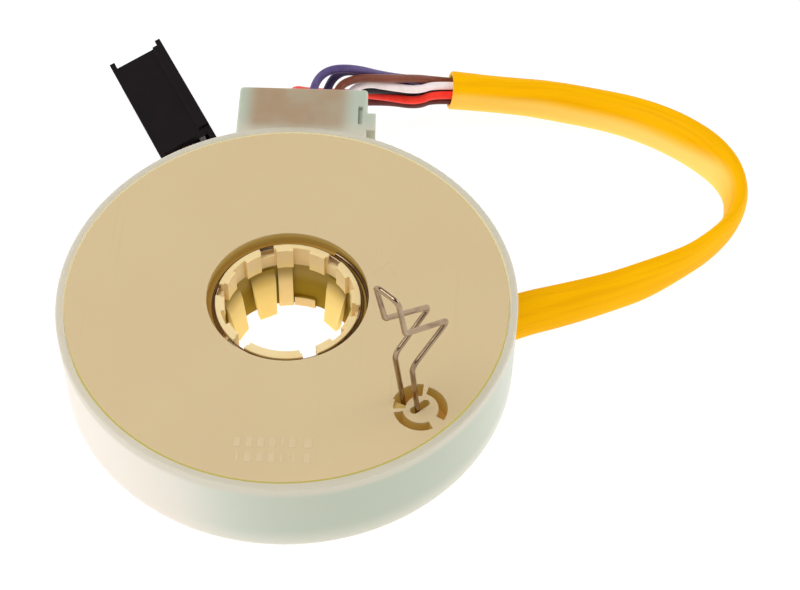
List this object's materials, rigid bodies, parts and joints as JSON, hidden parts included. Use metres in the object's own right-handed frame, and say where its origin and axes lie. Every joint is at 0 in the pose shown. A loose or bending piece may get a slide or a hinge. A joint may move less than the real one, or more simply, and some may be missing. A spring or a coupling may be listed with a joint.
{
  "type": "steering angle sensor",
  "caption": "Steering column torque and angle sensor: round moulded housing, sprung cover disc, collet hub for the shaft, sleeved cable and plug.",
  "frame": {"origin": "on the shaft axis, half way up the hub's gripping blocks, 4 mm below the cover's face", "axes": "+Z along the shaft axis, out of the cover's face; +Y towards the connector box"},
  "size_m": [0.1418, 0.1294, 0.0665],
  "materials": {
    "housing_plastic": "milky translucent natural nylon, satin",
    "cover_plastic": "beige moulded plastic, satin",
    "hub_plastic": "cream translucent acetal, satin",
    "terminal_plastic": "beige moulded plastic",
    "carrier_plastic": "dark moulded plastic",
    "circuit_board": "glass-epoxy board, satin",
    "resistive_track": "printed resistive film",
    "contact_tracks": "gilded copper",
    "tinned_pins": "tinned",
    "wiper_metal": "spring bronze",
    "washer_steel": "ground steel",
    "spring_wire": "drawn spring steel wire",
    "yellow_sleeve": "soft vinyl sleeve, satin",
    "plug_plastic": "black moulded plastic",
    "plug_wire_insulation": "vinyl insulation",
    "purple_insulation": "vinyl insulation",
    "navy_insulation": "vinyl insulation",
    "brown_insulation": "vinyl insulation",
    "white_insulation": "vinyl insulation",
    "black_insulation": "vinyl insulation",
    "red_insulation": "vinyl insulation",
    "maroon_insulation": "vinyl insulation"
  },
  "bodies": {
    "hub": {"hub": "hub_plastic", "snap_ring": "spring_wire", "torque_track": "resistive_track", "wiper_carrier": "carrier_plastic", "position_wipers": "wiper_metal"},
    "cover": {"cover_disc": "cover_plastic", "drive_spring": "spring_wire", "retaining_ring": "spring_wire", "torque_wipers": "wiper_metal"},
    "housing": {"housing": "housing_plastic", "stator_board": "circuit_board", "ring_tracks": "contact_tracks", "board_pins": "tinned_pins", "terminal_block": "terminal_plastic", "thrust_washer": "washer_steel", "cable_sleeve": "yellow_sleeve", "plug_wires": "plug_wire_insulation", "plug_housing": "plug_plastic", "plug_contacts": "tinned_pins", "wire_purple": "purple_insulation", "wire_navy": "navy_insulation", "wire_brown": "brown_insulation", "wire_white": "white_insulation", "wire_black": "black_insulation", "wire_red": "red_insulation", "wire_maroon": "maroon_insulation"}
  },
  "joints": [
    {"name": "shaft_turn", "type": "hinge", "parent": "housing", "child": "hub", "pos_m": [0, 0, 0], "axis": [0, 0, 1], "continuous": true},
    {"name": "torque_twist", "type": "hinge", "parent": "hub", "child": "cover", "pos_m": [0, 0, 0], "axis": [0, 0, 1], "range_deg": [-8, 8]}
  ]
}
